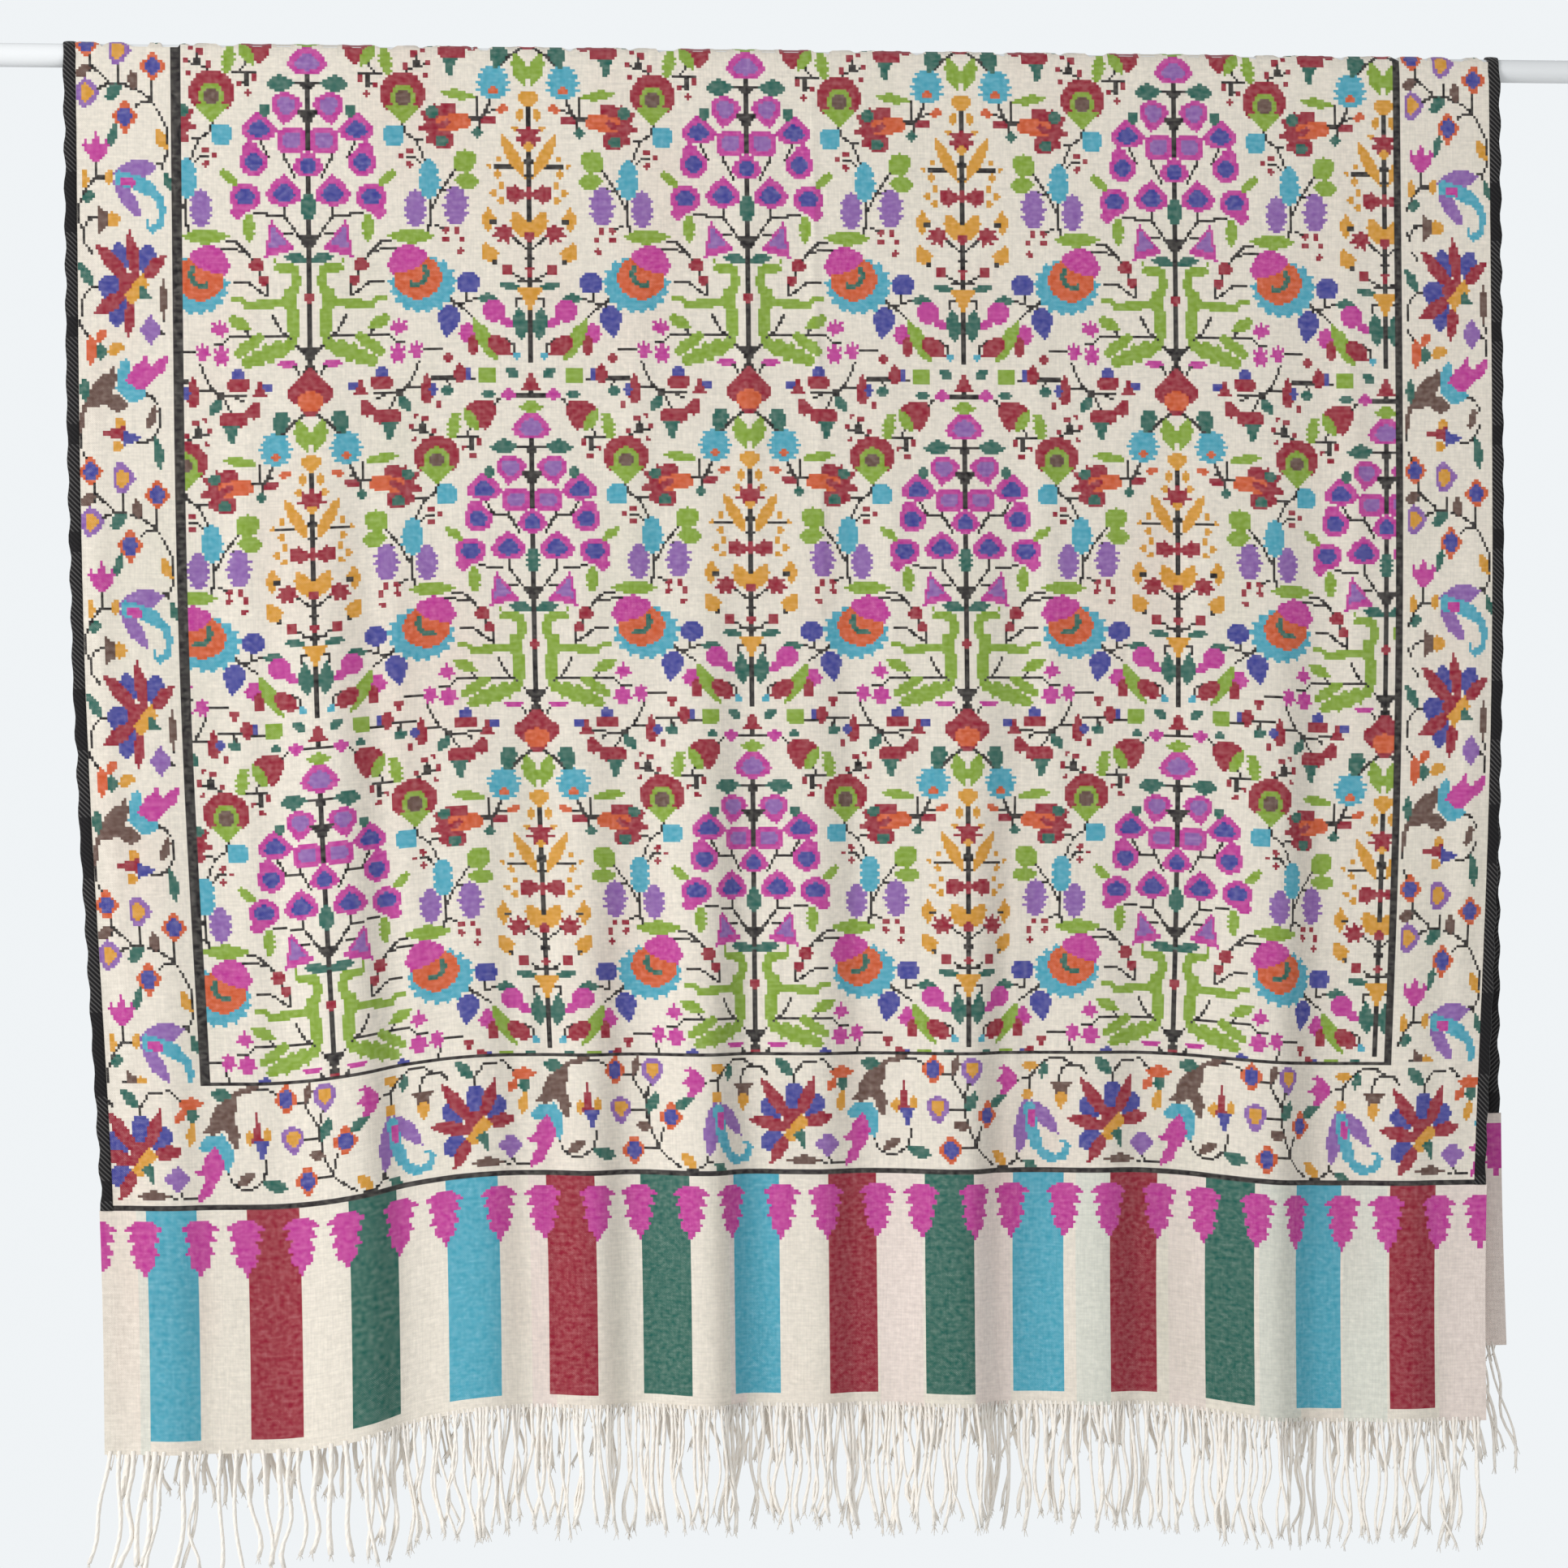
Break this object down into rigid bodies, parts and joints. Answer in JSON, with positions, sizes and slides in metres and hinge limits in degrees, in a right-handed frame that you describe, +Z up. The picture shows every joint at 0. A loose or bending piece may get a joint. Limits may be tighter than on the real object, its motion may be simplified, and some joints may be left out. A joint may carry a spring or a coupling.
{
  "type": "pashmina shawl draped over a round rod",
  "caption": "Wide woven wool shawl hung over a round rod, with a flowered field, vine borders, a striped end panel and a twisted fringe.",
  "frame": {"origin": "on the rod's axis, at the middle of its length, where the rod is held", "axes": "+X along the rod to the right as seen from the front, +Y towards the back fall, +Z up"},
  "size_m": [1.2, 0.0545, 1.0515],
  "materials": {
    "shawl_cloth": "soft undyed cream wool twill with coloured flowers woven in",
    "dark_edging": "thick near-black wool edging with fine pale twill lines",
    "fringe_yarn": "twisted ivory wool strands",
    "rod_paint": "smooth white satin paint"
  },
  "bodies": {
    "root": {"rod": "rod_paint", "cloth_over_rod": "shawl_cloth", "cloth_front": "shawl_cloth", "cloth_back": "shawl_cloth", "edging_over_rod_left": "dark_edging", "edging_over_rod_right": "dark_edging", "edging_front_left": "dark_edging", "edging_front_right": "dark_edging", "edging_back_left": "dark_edging", "edging_back_right": "dark_edging", "fringe_front": "fringe_yarn", "fringe_back": "fringe_yarn"}
  },
  "joints": []
}
